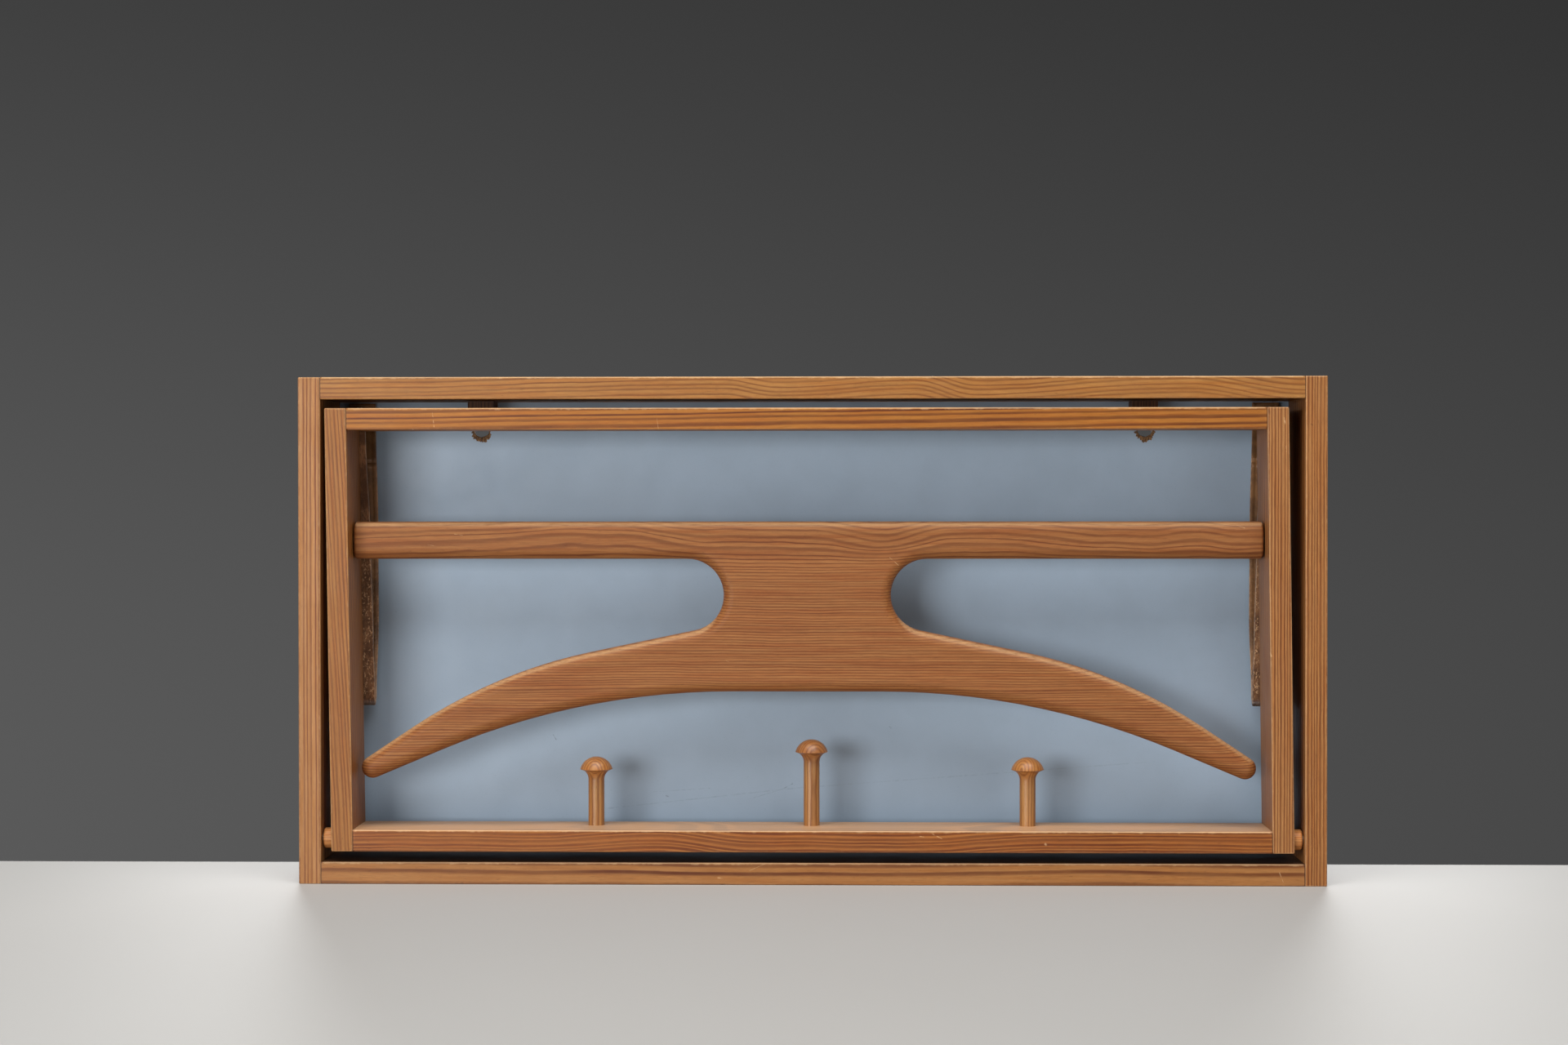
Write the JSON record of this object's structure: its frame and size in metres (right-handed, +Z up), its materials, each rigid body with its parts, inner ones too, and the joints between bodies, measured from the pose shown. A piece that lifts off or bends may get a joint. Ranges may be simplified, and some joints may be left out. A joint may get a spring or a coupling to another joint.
{
  "type": "folding coat hanger",
  "caption": "Shallow wooden wall case whose inner frame folds down on leather straps and holds a pivoting coat hanger with a trouser bar above a row of turned pegs.",
  "frame": {"origin": "middle of the underside of the case, halfway through its depth", "axes": "+X to the right seen from the front, +Y from the front towards the wall, +Z up"},
  "size_m": [0.52, 0.0644, 0.2572],
  "materials": {
    "case_wood": "worn oiled softwood with a strong upright grain",
    "frame_wood": "worn oiled softwood, rails a little yellower",
    "hanger_wood": "satin worn hardwood with a fine level grain",
    "peg_wood": "turned and worn, end grain on the domes",
    "block_wood": "dark raw wood",
    "dowel_wood": "raw beech",
    "panel_paint": "board with worn grey-blue paint",
    "steel": "dull plain steel",
    "strap_leather": "old flesh-side leather, olive brown"
  },
  "bodies": {
    "case": {"case_top_rail": "case_wood", "case_bottom_rail": "case_wood", "case_side_left": "case_wood", "case_side_right": "case_wood", "case_corner_dowels": "dowel_wood", "back_panel": "panel_paint", "panel_pins": "steel", "stop_block_left": "block_wood", "stop_block_right": "block_wood", "strap_case_screws": "steel", "strap_case_washers": "steel", "strap_left_case_end": "strap_leather", "strap_right_case_end": "strap_leather"},
    "swing_frame": {"frame_top_rail": "frame_wood", "frame_bottom_rail": "frame_wood", "frame_stile_left": "frame_wood", "frame_stile_right": "frame_wood", "frame_corner_dowels": "dowel_wood", "hinge_pin_left": "steel", "hinge_pin_right": "steel", "hinge_collar_left": "peg_wood", "hinge_collar_right": "peg_wood", "peg_left": "peg_wood", "peg_centre": "peg_wood", "peg_right": "peg_wood", "strap_frame_screws": "steel", "strap_frame_washers": "steel", "strap_left_frame_end": "strap_leather", "strap_right_frame_end": "strap_leather"},
    "hanger": {"hanger_board": "hanger_wood", "pivot_pin_left": "steel", "pivot_pin_right": "steel"},
    "strap_left_rear": {"strap_left_rear": "strap_leather"},
    "strap_left_front": {"strap_left_front": "strap_leather"},
    "strap_right_rear": {"strap_right_rear": "strap_leather"},
    "strap_right_front": {"strap_right_front": "strap_leather"}
  },
  "joints": [
    {"name": "frame_fold", "type": "hinge", "parent": "case", "child": "swing_frame", "pos_m": [0, -0.02425, 0.0226], "axis": [1, 0, 0], "range_deg": [0, 79.09], "deforming": ["strap_left_rear", "strap_left_front", "strap_right_rear", "strap_right_front"]},
    {"name": "hanger_pivot", "type": "hinge", "parent": "swing_frame", "child": "hanger", "pos_m": [-0.00209, -0.01075, 0.1742], "axis": [1, 0, 0], "range_deg": [-150, 13]},
    {"name": "strap_left_swing", "type": "hinge", "parent": "case", "child": "strap_left_rear", "pos_m": [-0.2379, 0.02465, 0.2349], "axis": [1, 0, 0], "range_deg": [-58.1, 0]},
    {"name": "strap_left_fold", "type": "hinge", "parent": "strap_left_rear", "child": "strap_left_front", "pos_m": [-0.2379, 0.017, 0.0909], "axis": [1, 0, 0], "range_deg": [0, 175.6]},
    {"name": "strap_right_swing", "type": "hinge", "parent": "case", "child": "strap_right_rear", "pos_m": [0.2379, 0.02465, 0.2349], "axis": [1, 0, 0], "range_deg": [-58.1, 0]},
    {"name": "strap_right_fold", "type": "hinge", "parent": "strap_right_rear", "child": "strap_right_front", "pos_m": [0.2379, 0.017, 0.0909], "axis": [1, 0, 0], "range_deg": [0, 175.6]}
  ],
  "couplings": [
    {"joint": "strap_left_swing", "follows": "frame_fold", "ratio": -0.7342},
    {"joint": "strap_left_fold", "follows": "frame_fold", "ratio": 2.2199},
    {"joint": "strap_right_swing", "follows": "frame_fold", "ratio": -0.7342},
    {"joint": "strap_right_fold", "follows": "frame_fold", "ratio": 2.2199}
  ]
}
